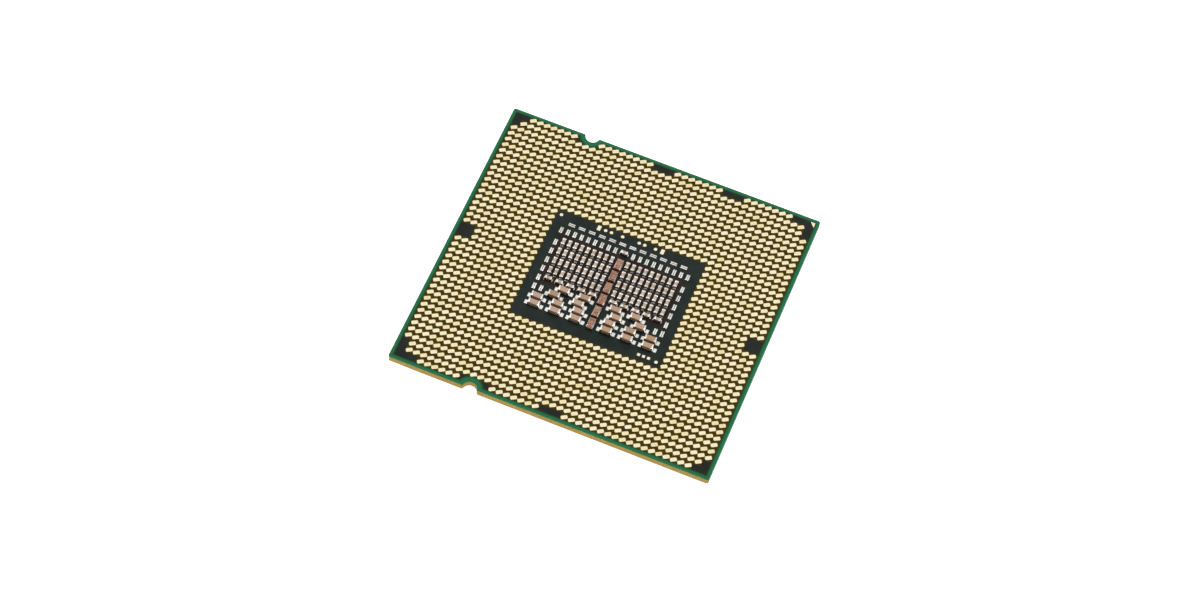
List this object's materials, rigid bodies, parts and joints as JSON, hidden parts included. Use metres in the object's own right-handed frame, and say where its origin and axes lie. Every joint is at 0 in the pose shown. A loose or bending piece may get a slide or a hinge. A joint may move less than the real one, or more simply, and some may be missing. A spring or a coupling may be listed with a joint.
{
  "type": "processor",
  "caption": "Land grid array processor: notched laminate board with gold contact lands around a field of capacitors, on a stepped metal heat spreader.",
  "frame": {"origin": "centre of the heat spreader's flat outer face, which the part rests on", "axes": "+Z out of the contact side, away from the heat spreader; +X along the 45 mm notched edges, towards the pin-one corner; +Y along the 42.5 mm edges, towards the pin-one corner"},
  "size_m": [0.045, 0.0426, 0.005],
  "materials": {
    "spreader_nickel": "satin nickel plate over copper",
    "sealant": "matt black cured silicone adhesive",
    "thermal_metal": "dull soft indium solder",
    "silicon": "polished silicon",
    "underfill": "dark filled epoxy",
    "solder_mask": "semi-gloss dark green solder mask",
    "buildup_resin": "yellow-green build-up resin, cut edge",
    "laminate_core": "tan glass-epoxy laminate, cut edge",
    "gold_plate": "pale gold plate over nickel and copper",
    "tan_ceramic": "matt fired capacitor ceramic",
    "brown_ceramic": "matt fired capacitor ceramic, redder",
    "tinned_metal": "bright matt tin: capacitor ends, solder and bare pads"
  },
  "bodies": {
    "root": {"heat_spreader": "spreader_nickel", "spreader_sealant": "sealant", "thermal_solder": "thermal_metal", "silicon_die": "silicon", "underfill": "underfill", "die_side_solder_mask": "solder_mask", "die_side_buildup": "buildup_resin", "substrate_core": "laminate_core", "land_side_buildup": "buildup_resin", "land_side_solder_mask": "solder_mask", "land_layer": "gold_plate", "pin_one_marker": "gold_plate", "wide_capacitor_1": "brown_ceramic", "wide_capacitor_2": "brown_ceramic", "wide_capacitor_3": "brown_ceramic", "wide_capacitor_4": "brown_ceramic", "wide_capacitor_5": "brown_ceramic", "wide_capacitor_6": "brown_ceramic", "bulk_capacitor_left_01": "tan_ceramic", "bulk_capacitor_left_02": "tan_ceramic", "bulk_capacitor_left_03": "tan_ceramic", "bulk_capacitor_left_04": "tan_ceramic", "bulk_capacitor_left_05": "tan_ceramic", "bulk_capacitor_left_06": "tan_ceramic", "bulk_capacitor_left_07": "tan_ceramic", "bulk_capacitor_left_08": "tan_ceramic", "bulk_capacitor_left_09": "tan_ceramic", "bulk_capacitor_left_10": "tan_ceramic", "bulk_capacitor_right_01": "tan_ceramic", "bulk_capacitor_right_02": "tan_ceramic", "bulk_capacitor_right_03": "tan_ceramic", "bulk_capacitor_right_04": "tan_ceramic", "bulk_capacitor_right_05": "tan_ceramic", "bulk_capacitor_right_06": "tan_ceramic", "bulk_capacitor_right_07": "tan_ceramic", "bulk_capacitor_right_08": "tan_ceramic", "bulk_capacitor_right_09": "tan_ceramic", "bulk_capacitor_right_10": "tan_ceramic", "capacitor_bank_left_1": "tan_ceramic", "capacitor_bank_left_2": "tan_ceramic", "capacitor_bank_left_3": "tan_ceramic", "capacitor_bank_left_4": "tan_ceramic", "capacitor_bank_right_1": "tan_ceramic", "capacitor_bank_right_2": "tan_ceramic", "capacitor_bank_right_3": "tan_ceramic", "capacitor_bank_right_4": "tan_ceramic", "small_capacitor_left_1": "tan_ceramic", "small_capacitor_left_2": "tan_ceramic", "small_capacitor_left_3": "tan_ceramic", "small_capacitor_left_4": "tan_ceramic", "small_capacitor_left_5": "tan_ceramic", "small_capacitor_right_1": "tan_ceramic", "small_capacitor_right_2": "tan_ceramic", "small_capacitor_right_3": "tan_ceramic", "small_capacitor_right_4": "tan_ceramic", "small_capacitor_right_5": "tan_ceramic", "small_capacitor_centre": "tan_ceramic"}
  },
  "joints": []
}
